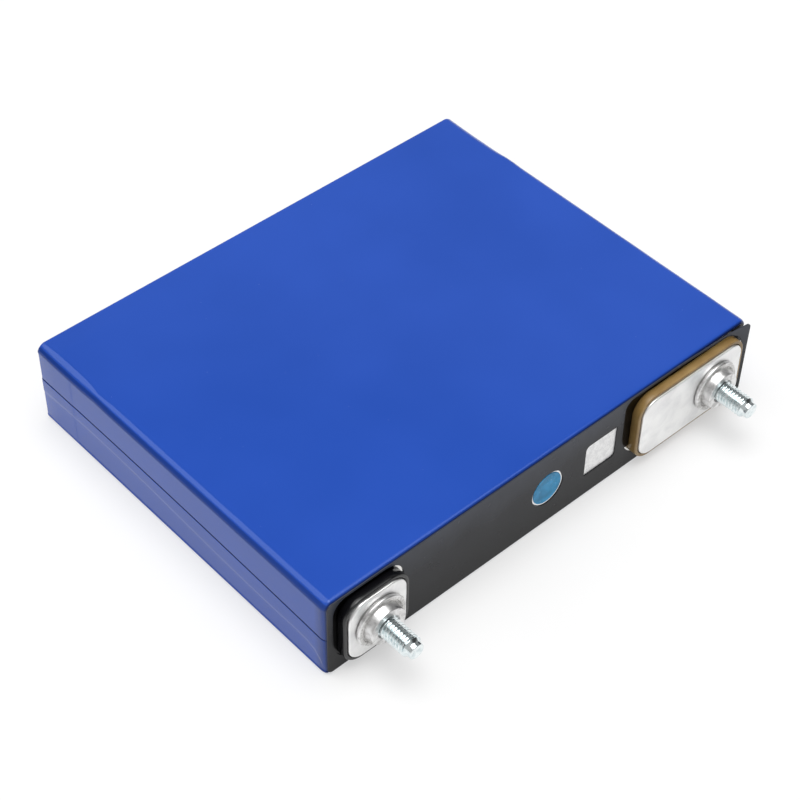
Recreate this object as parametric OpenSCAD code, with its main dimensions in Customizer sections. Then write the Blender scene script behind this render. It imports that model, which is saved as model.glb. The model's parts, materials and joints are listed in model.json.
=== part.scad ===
// Prismatic lithium cell, lying on one of its large faces.
// +Z is the cell's thickness and X is its width. The lid faces -Y.
// The origin is the centre of the large face that the cell rests on. Millimetres.

/* [Cell] */
// Width over the wrapping film
cell_width = 148; // [144:1:160]
// Thickness over the wrapping film
cell_thickness = 26.5; // [26.5:0.5:32]
// Height from the wrapped bottom end to the outer plane of the lid
cell_height = 116; // [80:1:180]
// Radius of the four long edges, over the film
long_edge_radius = 2; // [1.6:0.1:3]

/* [Can and film] */
// Thickness of the blue wrapping film with its adhesive
film_thickness = 0.2; // [0.1:0.05:0.3]
// Wall of the deep-drawn can
can_wall = 0.8; // [0.6:0.1:1]
// Bottom of the can
can_floor = 1.2; // [0.8:0.1:2]
// How far the bands where two film flaps overlap on the narrow sides stand proud
overlap_step = 0.08; // [0.05:0.01:0.1]
// Height of the overlap's seam above the resting face
overlap_top = 14; // [13.5:0.5:18]
// Height where the inner flap ends, under the outer one
overlap_bottom = 9.5; // [5:0.5:12.5]

/* [Lid] */
// Thickness of the lid plate
lid_thickness = 2; // [1.5:0.1:3]
// Thickness of the black lid sheet
sheet_thickness = 0.3; // [0.2:0.05:0.5]
// How far the lid sheet's edge lies inside the cell's outline
sheet_inset = 0.5; // [0.4:0.1:0.8]
// Diameter of the round window over the vent
vent_window_diameter = 11; // [10:0.5:13]
// Diameter of the protective film on the vent
vent_film_diameter = 9.8; // [9:0.1:10.4]
// Width of the code window
code_window_width = 11.4; // [8:0.2:14]
// Height of the code window
code_window_height = 10.7; // [8:0.1:12]
// Distance of the code window's centre from the vent
code_window_offset = 19.3; // [17:0.1:21]
// Distance of the filling hole from the vent
fill_hole_offset = 24; // [20:1:30]

/* [Terminals] */
// Distance between the two studs
stud_spacing = 119; // [118:0.5:124]
// Height of both terminal plates along the cell's thickness
plate_height = 19.6; // [18:0.1:20]
// Width of the negative terminal plate
neg_plate_width = 18.4; // [17:0.1:19]
// Width of the positive terminal plate
pos_plate_width = 38.2; // [30:0.1:39]
// Distance of the negative plate's centre from the middle of the lid
neg_plate_offset = 59.8; // [59:0.1:61]
// Distance of the positive plate's centre from the middle of the lid
pos_plate_offset = 50.8; // [49:0.1:51]
// Corner radius of the terminal plates
plate_corner_radius = 4.6; // [4:0.1:5]
// Height of the plates' faces above the lid
plate_rise = 3.1; // [2.8:0.1:3.5]
// Width of the insulator's lip round the plate
lip_width = 0.95; // [0.7:0.05:1]
// Height of the insulator's lip above the lid
lip_rise = 2.6; // [1.8:0.1:2.8]

/* [Studs] */
// Thread diameter of the studs
stud_diameter = 6; // [5:0.5:8]
// Height of the stud's tip above the lid
stud_rise = 16.5; // [14:0.5:22]
// Diameter of the boss's weld flange
flange_diameter = 15.2; // [14.5:0.1:16.5]
// Height of the weld flange's top above the lid
flange_rise = 4.4; // [4.4:0.1:5]
// Height of the boss's seat above the lid
seat_rise = 6.6; // [6.6:0.1:9]

/* [Windings] */
// Distance from the lid's outer plane to the windings
head_space = 12.8; // [12.8:0.1:20]
// Thickness of one electrode turn; each stands for several real turns
electrode_turn = 0.8; // [0.6:0.1:0.8]
// Thickness of one separator turn
separator_turn = 0.25; // [0.15:0.05:0.25]
// Number of electrode turns of each kind in one winding
turn_count = 2; // [1:1:2]

/* [Hidden] */
$fn = 96;

// A cut runs this far past the face that it opens.
cut = 1;
mid = cell_thickness / 2;
lid_y = -cell_height / 2;

// Can, measured in the lid's frame: heights are positive outwards and negative into the can.
can_width = cell_width - 2 * film_thickness;
can_thickness = cell_thickness - 2 * film_thickness;
can_radius = long_edge_radius - film_thickness;
cavity_width = can_width - 2 * can_wall;
cavity_thickness = can_thickness - 2 * can_wall;
cavity_radius = can_radius - can_wall;
can_bottom = -cell_height + film_thickness;
cavity_floor = can_bottom + can_floor;

// Vent: a rim seated in a step of the lid round a thin membrane.
vent_seat_radius = 5.8;
vent_seat_depth = 0.8;
vent_hole_radius = 3.8;
vent_rim_radius = 4.2;
vent_rim_slope = 0.3;
vent_membrane = 0.25;
vent_score_radius = 3;
vent_score_width = 0.3;
vent_score_depth = 0.12;
vent_film_thickness = 0.15;

// Filling hole: a stepped hole in the lid, plugged and capped.
fill_hole_radius = 1.5;
fill_seat_radius = 4;
fill_seat_depth = 0.8;
fill_plug_head = 2.4;

// Windows of the lid sheet round the terminals. Their corner radii run low -X, low +X, high +X, high -X.
window_z = [1.6, 25.4];
neg_window_x = [-71.6, -49.2];
pos_window_x = [27.4, 71.9];
neg_window_radii = [9, 7.5, 7.5, 4.5];
pos_window_radii = [12, 7.5, 7.5, 3];
code_corner_radius = 1.4;

// Terminals.
neg_stud_x = -stud_spacing / 2;
pos_stud_x = stud_spacing / 2;
plate_gap = 0.2;
insulator_floor = 1.1;
shank_radius = 4;
rivet_head_radius = 4.8;
rivet_head_height = 0.8;
rivet_base_radius = 7;
rivet_base_thickness = 1.5;
seal_radius = 5.5;
seal_flange_radius = 8;
seal_flange = 1;
rivet_base_top = -lid_thickness - seal_flange;
rivet_base_bottom = rivet_base_top - rivet_base_thickness;

// Stud and its boss.
stud_radius = stud_diameter / 2;
stud_head_radius = stud_radius + 1.2;
stud_head_height = 1.2;
stud_collar_radius = stud_radius + 0.3;
stud_neck_radius = stud_radius - 0.35;
recess_radius = stud_radius + 0.45;
recess_depth = 0.8;
tip_radius = 0.75 * stud_radius;
tip_length = 1.2;
tip_chamfer = 0.25;
thread_end = stud_rise - tip_length - (stud_radius - tip_radius);
boss_top_radius = 5.3;
boss_foot_radius = 5.8;
groove_radius = 6.25;
groove_depth = 0.5;
bead_radius = 0.5;

// Insulator under the lid, and what hangs from it.
lower_margin = 1.6;
collector_width = 34;
collector_height = 18;
collector_thickness = 1.5;
collector_offset = 54;
collector_bottom = rivet_base_bottom - collector_thickness;
fuse_slot_width = 2.4;
fuse_neck = 2.6;
fuse_slot_x = 50;
tab_width = 28;
tab_offset = 52;
tab_thickness = 1;
tab_bend = 1.5;
tab_fan = 4;
tab_fan_height = 3;
tab_weld_gap = 0.4;

// Windings, bag and pad.
bag_clearance = 0.1;
bag_wall = 0.2;
bag_mouth = 6.5;
bag_width = cavity_width - 4 * bag_clearance;
bag_thickness = cavity_thickness - 2 * bag_clearance;
pad_thickness = 1;
pad_top = cavity_floor + bag_wall + pad_thickness;
tape_thickness = 0.1;
tape_width = 12;
tape_margin = 6;
winding_half = (bag_thickness - 2 * bag_wall) / 4;
winding_radius = winding_half - tape_thickness - 0.05;
winding_width = bag_width - 2 * bag_wall - 4 * tape_thickness;
winding_a_z = mid - winding_half;
winding_b_z = mid + winding_half;
anode_margin = 1;
cathode_margin = 1.5;
wrap_turn = 0.45;
turn_step = 2 * (electrode_turn + separator_turn);

// ---------- helpers ----------

// Places what is drawn flat in X and Z, and raised outwards, on the lid's outer plane.
module on_lid() {
    translate([0, lid_y, 0]) rotate([90, 0, 0]) children();
}

// Extrudes a flat outline between two heights above the lid.
module slab(from, to) {
    translate([0, 0, from]) linear_extrude(to - from) children();
}

// Rounded rectangle about the origin, made of squares and circles.
module rounded_rect(w, h, r) {
    square([w - 2 * r, h], center = true);
    square([w, h - 2 * r], center = true);
    for (sx = [-1, 1], sy = [-1, 1]) translate([sx * (w / 2 - r), sy * (h / 2 - r)]) circle(r);
}

// Rounded rectangle about the cell's mid-plane.
module mid_rect(x, w, h, r) {
    translate([x, mid]) rounded_rect(w, h, r);
}

// A turned part on the lid, from a profile of [radius, height] points.
module turned(x, profile) {
    on_lid() translate([x, mid, 0]) rotate_extrude() polygon(profile);
}

// A round hole through the lid frame's solids, between two heights.
module drill(x, r, from, to) {
    translate([x, mid, from]) cylinder(h = to - from, r = r);
}

// Flat racetrack outline of a winding turn.
module racetrack(w, r) {
    square([w - 2 * r, 2 * r], center = true);
    for (s = [-1, 1]) translate([s * (w / 2 - r), 0]) circle(r);
}

// One closed turn of a winding, from the given distance under its surface.
module turn(inset, thickness) {
    difference() {
        racetrack(winding_width - 2 * inset, winding_radius - inset);
        racetrack(winding_width - 2 * (inset + thickness), winding_radius - inset - thickness);
    }
}

// ---------- can, film and lid ----------

// The film is recessed on both narrow sides, except in the band where its two flaps overlap.
module wrap_film() {
    upper_edge = cell_thickness - long_edge_radius;
    color("royalblue") on_lid() difference() {
        slab(-cell_height, 0) mid_rect(0, cell_width, cell_thickness, long_edge_radius);
        slab(can_bottom, cut) mid_rect(0, can_width, can_thickness, can_radius);
        for (side = [0, 1], band = [[long_edge_radius, overlap_bottom], [overlap_top, upper_edge]])
            mirror([side, 0, 0]) translate([-cell_width / 2 - cut, band[0], -cell_height - cut])
                cube([cut + overlap_step, band[1] - band[0], cell_height + 2 * cut]);
    }
}

module case_can() {
    color("silver") on_lid() difference() {
        slab(can_bottom, 0) mid_rect(0, can_width, can_thickness, can_radius);
        slab(cavity_floor, cut) mid_rect(0, cavity_width, cavity_thickness, cavity_radius);
    }
}

module lid_plate() {
    color("gainsboro") on_lid() difference() {
        slab(-lid_thickness, 0) mid_rect(0, cavity_width, cavity_thickness, cavity_radius);
        drill(0, vent_seat_radius, -vent_seat_depth, cut);
        drill(0, vent_hole_radius, -lid_thickness - cut, cut);
        drill(-fill_hole_offset, fill_seat_radius, -fill_seat_depth, cut);
        drill(-fill_hole_offset, fill_hole_radius, -lid_thickness - cut, cut);
        for (x = [neg_stud_x, pos_stud_x]) drill(x, seal_radius, -lid_thickness - cut, cut);
    }
}

// Window of the lid sheet round one terminal: a rectangle whose four corners have their own radii.
module terminal_window(x_range, radii) {
    corners = [[0, 0], [1, 0], [1, 1], [0, 1]];
    difference() {
        translate([x_range[0], window_z[0]]) square([x_range[1] - x_range[0], window_z[1] - window_z[0]]);
        for (k = [0:3])
            translate([x_range[corners[k][0]], window_z[corners[k][1]]]) square(2 * radii[k], center = true);
    }
    for (k = [0:3])
        translate([x_range[corners[k][0]], window_z[corners[k][1]]])
            translate([1 - 2 * corners[k][0], 1 - 2 * corners[k][1]] * radii[k]) circle(radii[k]);
}

// Code window: two opposite corners are rounded and two are sharp.
module code_window() {
    w = code_window_width;
    h = code_window_height;
    r = code_corner_radius;
    translate([code_window_offset, mid]) {
        rounded_rect(w, h, r);
        for (s = [-1, 1]) translate([s * (w / 2 - r), s * (h / 2 - r)]) square(2 * r, center = true);
    }
}

module lid_sheet() {
    color("dimgray") on_lid() slab(0, sheet_thickness) difference() {
        mid_rect(0, cell_width - 2 * sheet_inset, cell_thickness - 2 * sheet_inset,
            long_edge_radius - sheet_inset);
        translate([0, mid]) circle(d = vent_window_diameter);
        code_window();
        terminal_window(neg_window_x, neg_window_radii);
        terminal_window(pos_window_x, pos_window_radii);
    }
}

module vent_disc() {
    membrane_top = -vent_seat_depth + vent_membrane;
    score_bottom = membrane_top - vent_score_depth;
    color("silver") turned(0, [
        [0, -vent_seat_depth],
        [vent_seat_radius, -vent_seat_depth],
        [vent_seat_radius, 0],
        [vent_rim_radius, 0],
        [vent_rim_radius - vent_rim_slope, membrane_top],
        [vent_score_radius + vent_score_width, membrane_top],
        [vent_score_radius + vent_score_width / 2, score_bottom],
        [vent_score_radius, membrane_top],
        [0, membrane_top]
    ]);
}

module vent_film() {
    color("steelblue") on_lid() slab(0, vent_film_thickness)
        translate([0, mid]) circle(d = vent_film_diameter);
}

module fill_port_plug() {
    color("black") turned(-fill_hole_offset, [
        [0, -lid_thickness],
        [fill_hole_radius, -lid_thickness],
        [fill_hole_radius, -fill_seat_depth],
        [fill_plug_head, -fill_seat_depth],
        [fill_plug_head, -fill_seat_depth / 2],
        [0, -fill_seat_depth / 2]
    ]);
}

module fill_port_cap() {
    color("silver") turned(-fill_hole_offset, [
        [0, -fill_seat_depth / 2],
        [fill_plug_head, -fill_seat_depth / 2],
        [fill_plug_head, -fill_seat_depth],
        [fill_seat_radius, -fill_seat_depth],
        [fill_seat_radius, 0],
        [0, 0]
    ]);
}

// ---------- terminals ----------

// Moulded tray under a terminal plate: a floor with a raised lip.
module outer_insulator(plate_x, plate_w, stud_x) {
    rim = lip_width + plate_gap;
    on_lid() difference() {
        slab(0, lip_rise)
            mid_rect(plate_x, plate_w + 2 * rim, plate_height + 2 * rim, plate_corner_radius + rim);
        slab(insulator_floor, lip_rise + cut)
            mid_rect(plate_x, plate_w + 2 * plate_gap, plate_height + 2 * plate_gap,
                plate_corner_radius + plate_gap);
        drill(stud_x, shank_radius, -cut, lip_rise + cut);
    }
}

// Aluminium plate on the insulator, countersunk for the rivet.
module terminal_plate(plate_x, plate_w, stud_x) {
    on_lid() difference() {
        slab(insulator_floor, plate_rise)
            mid_rect(plate_x, plate_w, plate_height, plate_corner_radius);
        drill(stud_x, shank_radius, insulator_floor - cut, plate_rise + cut);
        translate([stud_x, mid, plate_rise - rivet_head_height])
            cylinder(h = rivet_head_height, r1 = shank_radius, r2 = rivet_head_radius);
    }
}

// Flanged boss welded on the plate, bored for the stud.
module stud_base(x) {
    flange_radius = flange_diameter / 2;
    head_top = plate_rise + stud_head_height;
    color("lightgray") turned(x, [
        [stud_head_radius, plate_rise],
        [flange_radius - 0.3, plate_rise],
        [flange_radius, plate_rise + 0.3],
        [flange_radius, flange_rise - bead_radius],
        [flange_radius - bead_radius, flange_rise],
        [groove_radius + 0.3, flange_rise],
        [groove_radius, flange_rise - groove_depth],
        [boss_foot_radius, flange_rise - groove_depth / 2],
        [boss_foot_radius, flange_rise + 0.4],
        [boss_top_radius, seat_rise - 0.2],
        [boss_top_radius - 0.2, seat_rise],
        [recess_radius, seat_rise],
        [recess_radius, seat_rise - recess_depth],
        [stud_collar_radius, seat_rise - recess_depth],
        [stud_collar_radius, head_top],
        [stud_head_radius, head_top]
    ]);
}

// Steel stud, with its head clamped under the boss and its free end outwards.
module stud(x) {
    collar_top = seat_rise - recess_depth;
    color("lightsteelblue") turned(x, [
        [0, plate_rise],
        [stud_head_radius, plate_rise],
        [stud_head_radius, plate_rise + stud_head_height],
        [stud_collar_radius, plate_rise + stud_head_height],
        [stud_collar_radius, collar_top],
        [stud_neck_radius, collar_top],
        [stud_neck_radius, seat_rise],
        [stud_radius, seat_rise],
        [stud_radius, thread_end],
        [tip_radius, stud_rise - tip_length],
        [tip_radius, stud_rise - tip_chamfer],
        [tip_radius - tip_chamfer, stud_rise],
        [0, stud_rise]
    ]);
}

// Rivet from the collector, through the seal and the lid, to the terminal plate.
module rivet(x) {
    turned(x, [
        [0, rivet_base_bottom],
        [rivet_base_radius, rivet_base_bottom],
        [rivet_base_radius, rivet_base_top],
        [shank_radius, rivet_base_top],
        [shank_radius, plate_rise - rivet_head_height],
        [rivet_head_radius, plate_rise],
        [0, plate_rise]
    ]);
}

// Rubber sleeve in the lid's hole, with a flange under the lid.
module seal_ring(x) {
    color("darkslategray") turned(x, [
        [shank_radius, rivet_base_top],
        [seal_flange_radius, rivet_base_top],
        [seal_flange_radius, -lid_thickness],
        [seal_radius, -lid_thickness],
        [seal_radius, 0],
        [shank_radius, 0]
    ]);
}

module neg_outer_insulator() {
    color("black") outer_insulator(-neg_plate_offset, neg_plate_width, neg_stud_x);
}

module pos_outer_insulator() {
    color("sienna") outer_insulator(pos_plate_offset, pos_plate_width, pos_stud_x);
}

module neg_terminal_plate() {
    color("whitesmoke") terminal_plate(-neg_plate_offset, neg_plate_width, neg_stud_x);
}

module pos_terminal_plate() {
    color("whitesmoke") terminal_plate(pos_plate_offset, pos_plate_width, pos_stud_x);
}

module neg_rivet() {
    color("peru") rivet(neg_stud_x);
}

module pos_rivet() {
    color("silver") rivet(pos_stud_x);
}

// ---------- under the lid ----------

module lower_insulator() {
    grille_bar = 1.6;
    color("ivory") on_lid() difference() {
        slab(rivet_base_bottom, -lid_thickness)
            mid_rect(0, cavity_width - 2 * lower_margin, cavity_thickness - 2 * lower_margin,
                cavity_radius);
        for (x = [neg_stud_x, pos_stud_x]) {
            drill(x, seal_flange_radius, rivet_base_top, -lid_thickness + cut);
            drill(x, rivet_base_radius, rivet_base_bottom - cut, rivet_base_top + cut);
        }
        for (i = [-2 : 2])
            translate([i * 2 * grille_bar - grille_bar / 2, mid - 4, rivet_base_bottom - cut])
                cube([grille_bar, 8, -rivet_base_bottom]);
        drill(-fill_hole_offset, fill_hole_radius + 0.5, rivet_base_bottom - cut, 0);
    }
}

// Flat plate under one rivet, centred at the given place along X.
module collector(x) {
    slab(collector_bottom, rivet_base_bottom)
        mid_rect(x, collector_width, collector_height, cavity_radius);
}

module neg_collector() {
    color("chocolate") on_lid() collector(-collector_offset);
}

// The positive collector has a slot that leaves two narrow necks, which act as a fuse.
module pos_collector() {
    color("silver") on_lid() difference() {
        collector(collector_offset);
        translate([fuse_slot_x, mid, collector_bottom - cut]) linear_extrude(collector_thickness + 2 * cut)
            square([fuse_slot_width, collector_height - 2 * fuse_neck], center = true);
    }
}

// Side view of one foil stack: a fan from the winding, a bend, and a flat welded under the collector.
module tab_profile() {
    bend_z = tab_thickness / 2 + tab_bend;
    bend_height = collector_bottom - tab_thickness - tab_bend;
    fan_top = -head_space + tab_fan_height;
    polygon([
        [-tab_fan, -head_space],
        [tab_fan, -head_space],
        [tab_thickness / 2, fan_top],
        [-tab_thickness / 2, fan_top]
    ]);
    translate([-tab_thickness / 2, fan_top]) square([tab_thickness, bend_height - fan_top]);
    intersection() {
        translate([bend_z, bend_height]) difference() {
            circle(tab_bend + tab_thickness);
            circle(tab_bend);
        }
        translate([-tab_thickness / 2, bend_height]) square(tab_bend + tab_thickness);
    }
    translate([bend_z, collector_bottom - tab_thickness])
        square([winding_half - bend_z - tab_weld_gap, tab_thickness]);
}

// Two foil stacks, one from each winding, that bend towards each other.
module foil_tabs(x) {
    on_lid() translate([x - tab_width / 2, mid, 0]) for (side = [0, 1]) mirror([0, side, 0])
        translate([0, -winding_half, 0]) rotate([90, 0, 90]) linear_extrude(tab_width) tab_profile();
}

module neg_foil_tabs() {
    color("peru") foil_tabs(-tab_offset);
}

module pos_foil_tabs() {
    color("lightgray") foil_tabs(tab_offset);
}

// ---------- windings ----------

// Extrudes the turns of one winding, short of its ends by the margin.
module winding(z, margin) {
    on_lid() slab(pad_top + margin, -head_space - margin) translate([0, z]) children();
}

// Anode turns. The outermost comes next to the outer wrap, and the innermost closes the core.
module anode_turns(z) {
    color("dimgray") winding(z, anode_margin)
        for (i = [0 : turn_count]) turn(wrap_turn + i * turn_step, electrode_turn);
}

module cathode_turns(z) {
    color("slategray") winding(z, cathode_margin) for (i = [0 : turn_count - 1])
        turn(wrap_turn + electrode_turn + separator_turn + i * turn_step, electrode_turn);
}

// Separator turns between the electrodes, and the outer wrap.
module separator_turns(z) {
    color("white") winding(z, 0) {
        turn(0, wrap_turn);
        for (i = [0 : 2 * turn_count - 1])
            turn(wrap_turn + electrode_turn + i * turn_step / 2, separator_turn);
    }
}

module winding_a_anode() { anode_turns(winding_a_z); }
module winding_a_cathode() { cathode_turns(winding_a_z); }
module winding_a_separator() { separator_turns(winding_a_z); }
module winding_b_anode() { anode_turns(winding_b_z); }
module winding_b_cathode() { cathode_turns(winding_b_z); }
module winding_b_separator() { separator_turns(winding_b_z); }

// Tape round each winding near both of its ends.
module winding_tapes() {
    low = pad_top + tape_margin;
    high = -head_space - tape_margin - tape_width;
    color("seagreen") on_lid() for (z = [winding_a_z, winding_b_z], at = [low, high])
        slab(at, at + tape_width) translate([0, z]) turn(-tape_thickness, tape_thickness);
}

module winding_bag() {
    color("lightcyan") on_lid() difference() {
        slab(cavity_floor, -bag_mouth) mid_rect(0, bag_width, bag_thickness, cavity_radius);
        slab(cavity_floor + bag_wall, -bag_mouth + cut)
            mid_rect(0, bag_width - 2 * bag_wall, bag_thickness - 2 * bag_wall, cavity_radius - bag_wall);
    }
}

module bottom_pad() {
    color("ivory") on_lid() slab(cavity_floor + bag_wall, pad_top)
        mid_rect(0, bag_width - 2 * bag_wall, bag_thickness - 2 * bag_wall, cavity_radius - bag_wall);
}

// ---------- the nodes ----------

wrap_film();
case_can();
lid_plate();
lid_sheet();
vent_disc();
vent_film();
fill_port_plug();
fill_port_cap();
neg_outer_insulator();
neg_terminal_plate();
stud_base(neg_stud_x);  // neg_stud_base
stud(neg_stud_x);  // neg_stud
neg_rivet();
seal_ring(neg_stud_x);  // neg_seal_ring
neg_collector();
neg_foil_tabs();
pos_outer_insulator();
pos_terminal_plate();
stud_base(pos_stud_x);  // pos_stud_base
stud(pos_stud_x);  // pos_stud
pos_rivet();
seal_ring(pos_stud_x);  // pos_seal_ring
pos_collector();
pos_foil_tabs();
lower_insulator();
winding_bag();
bottom_pad();
winding_a_anode();
winding_a_cathode();
winding_a_separator();
winding_b_anode();
winding_b_cathode();
winding_b_separator();
winding_tapes();
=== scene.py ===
"""Looks of a prismatic lithium cell in a blue film, lying on one of its large faces.

Shapes are worked out in millimetres in the lid's frame: x along the width, h outwards from the lid's
outer plane, z along the thickness. new_piece() turns them into metres in the CAD frame.
"""
import json
import math

import bmesh
import bpy
from mathutils import Matrix, Vector, noise
from mathutils.geometry import delaunay_2d_cdt


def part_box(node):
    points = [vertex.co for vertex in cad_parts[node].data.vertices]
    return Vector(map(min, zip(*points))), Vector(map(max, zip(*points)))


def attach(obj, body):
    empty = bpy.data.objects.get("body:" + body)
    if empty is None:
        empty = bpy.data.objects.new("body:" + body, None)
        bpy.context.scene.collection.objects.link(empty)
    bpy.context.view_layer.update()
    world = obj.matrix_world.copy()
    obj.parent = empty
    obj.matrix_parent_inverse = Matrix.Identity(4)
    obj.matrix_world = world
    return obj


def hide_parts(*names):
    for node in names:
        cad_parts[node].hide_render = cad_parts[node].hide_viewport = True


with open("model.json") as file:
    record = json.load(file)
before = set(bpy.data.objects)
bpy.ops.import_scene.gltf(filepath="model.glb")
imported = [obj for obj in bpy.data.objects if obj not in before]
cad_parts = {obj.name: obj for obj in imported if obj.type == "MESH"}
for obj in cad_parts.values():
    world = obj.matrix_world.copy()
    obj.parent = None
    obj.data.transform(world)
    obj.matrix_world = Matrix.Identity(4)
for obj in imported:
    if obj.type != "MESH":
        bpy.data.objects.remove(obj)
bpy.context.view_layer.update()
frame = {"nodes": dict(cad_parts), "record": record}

# ---------- sizes that come from the frame ----------

MM = 0.001
SAME_POINT = 1e-7  # metres: points closer than this are one point
ON_AXIS = 1e-6  # millimetres: a smaller radius is on the axis
NEARLY = 1e-6  # millimetres: slack when two heights are compared
SLOT_OF = {part["node"]: part["material_slot"] for part in frame["record"]["subparts"]}
MOUNTS = {mount["name"]: mount for mount in frame["record"]["mounts"]}


def corners(node):
    """Low and high corner of a CAD node, in millimetres of the CAD frame."""
    low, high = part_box(node)
    return low / MM, high / MM


FILM_LOW, FILM_HIGH = corners("wrap_film")
LID = FILM_LOW.y
HALF_WIDTH = FILM_HIGH.x
THICKNESS = FILM_HIGH.z
LENGTH = FILM_HIGH.y - FILM_LOW.y
MID = THICKNESS / 2


def heights(node):
    """Lowest and highest height of a CAD node above the lid's outer plane."""
    low, high = corners(node)
    return LID - high.y, LID - low.y


# ---------- shapes ----------

def smooth(value, start, end):
    """0 before start, 1 after end, and a smooth step between them."""
    t = min(1.0, max(0.0, (value - start) / (end - start)))
    return t * t * (3 - 2 * t)


def ripple(*place, seed=0.0):
    """Repeatable noise from -1 to 1. The seed moves the place to another part of it."""
    x, y, z = (list(place) + [0.0, 0.0, 0.0])[:3]
    return noise.noise(Vector((x + seed * 17.3, y - seed * 5.1, z + seed * 9.7)))


def rounded_rect(centre, size, radii, cuts=(1, 1), steps=8):
    """Outline of a rounded rectangle, anticlockwise from its low right corner.

    radii is one radius or four. Each side is cut into stretches; cuts has their number along x and z.
    """
    radii = [radii] * 4 if isinstance(radii, (int, float)) else radii
    signs = [(1, -1), (1, 1), (-1, 1), (-1, -1)]
    hubs = [(centre[0] + sx * (size[0] / 2 - r), centre[1] + sz * (size[1] / 2 - r))
            for (sx, sz), r in zip(signs, radii)]
    points = []
    for quarter, ((x, z), r) in enumerate(zip(hubs, radii)):
        start = (quarter - 1) * math.pi / 2
        turns = [start + math.pi / 2 * k / steps for k in range(steps + 1)]
        points += [(x + r * math.cos(a), z + r * math.sin(a)) for a in turns]
        (x1, z1), r1 = hubs[(quarter + 1) % 4], radii[(quarter + 1) % 4]
        goal = (x1 + r1 * math.cos(turns[-1]), z1 + r1 * math.sin(turns[-1]))
        last = points[-1]
        stretches = cuts[0] if quarter % 2 == 1 else cuts[1]
        for k in range(1, stretches):
            share = k / stretches
            points.append((last[0] + (goal[0] - last[0]) * share, last[1] + (goal[1] - last[1]) * share))
    return points


def circle(centre, radius, steps):
    turns = [2 * math.pi * k / steps for k in range(steps)]
    return [(centre[0] + radius * math.cos(a), centre[1] + radius * math.sin(a)) for a in turns]


def arc(centre, radius, start, end, steps=4):
    """Points (r, h) of an arc in a turned profile, with its angles in degrees."""
    turns = [math.radians(start + (end - start) * k / steps) for k in range(steps + 1)]
    return [(centre[0] + radius * math.cos(a), centre[1] + radius * math.sin(a)) for a in turns]


def loft(rings, first_cap=False, last_cap=False, closed=False):
    """Skin over rings of equal count. Each ring is a list of points (x, h, z)."""
    count = len(rings[0])
    points = [point for ring in rings for point in ring]
    faces = []
    pairs = [(k, k + 1) for k in range(len(rings) - 1)] + ([(len(rings) - 1, 0)] if closed else [])
    for a, b in pairs:
        for i in range(count):
            j = (i + 1) % count
            faces.append((a * count + i, a * count + j, b * count + j, b * count + i))
    if first_cap:
        faces.append(tuple(range(count)))
    if last_cap:
        start = (len(rings) - 1) * count
        faces.append(tuple(range(start, start + count)))
    return points, faces


def turned(profile, centre, steps=96, shift=None):
    """Skin turned round an axis out of the lid, from (r, h) points, which shift(turn, r, h) may move."""
    points, rings = [], []
    for r, h in profile:
        if r < ON_AXIS:
            points.append((centre[0], h, centre[1]))
            rings.append([len(points) - 1] * steps)
            continue
        ring = []
        for k in range(steps):
            turn = 2 * math.pi * k / steps
            rr, hh = shift(turn, r, h) if shift else (r, h)
            points.append((centre[0] + rr * math.cos(turn), hh, centre[1] + rr * math.sin(turn)))
            ring.append(len(points) - 1)
        rings.append(ring)
    pairs = list(zip(rings, rings[1:]))
    if profile[0][0] > ON_AXIS:
        pairs.append((rings[-1], rings[0]))
    faces = []
    for lower, upper in pairs:
        for i in range(steps):
            j = (i + 1) % steps
            faces.append(tuple(dict.fromkeys((lower[i], lower[j], upper[j], upper[i]))))
    return points, faces


# CAD nodes that a piece stands for
REPLACED = set()


def new_piece(name, skin, nodes, sharp=35, marks=None):
    """A piece on the root body that stands for these CAD nodes and takes the first one's slot.

    marks are numbers for its points, which the material reads. Edges of over sharp degrees stay sharp.
    """
    points, faces = skin
    mesh = bpy.data.meshes.new(name)
    mesh.from_pydata([Vector((x, LID - h, z)) * MM for x, h, z in points], [], faces)
    if marks:
        layer = mesh.attributes.new("mark", "FLOAT", "POINT")
        layer.data.foreach_set("value", marks)
    shape = bmesh.new()
    shape.from_mesh(mesh)
    bmesh.ops.remove_doubles(shape, verts=shape.verts, dist=SAME_POINT)
    bmesh.ops.recalc_face_normals(shape, faces=shape.faces)
    shape.to_mesh(mesh)
    shape.free()
    mesh.shade_smooth()
    mesh.set_sharp_from_angle(angle=math.radians(sharp))
    piece = bpy.data.objects.new(name, mesh)
    bpy.context.scene.collection.objects.link(piece)
    mesh.materials.append(MATERIALS[SLOT_OF[nodes[0]]])
    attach(piece, "root")
    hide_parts(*nodes)
    REPLACED.update(nodes)
    return piece


# ---------- materials ----------

BEVEL_SAMPLES = 4
# Turn of a surface, as 1 minus its cosine, where an edge begins and where it counts in full
EDGE_TURN = (0.004, 0.06)
METAL_GRAIN_DEPTH = 0.003


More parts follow.
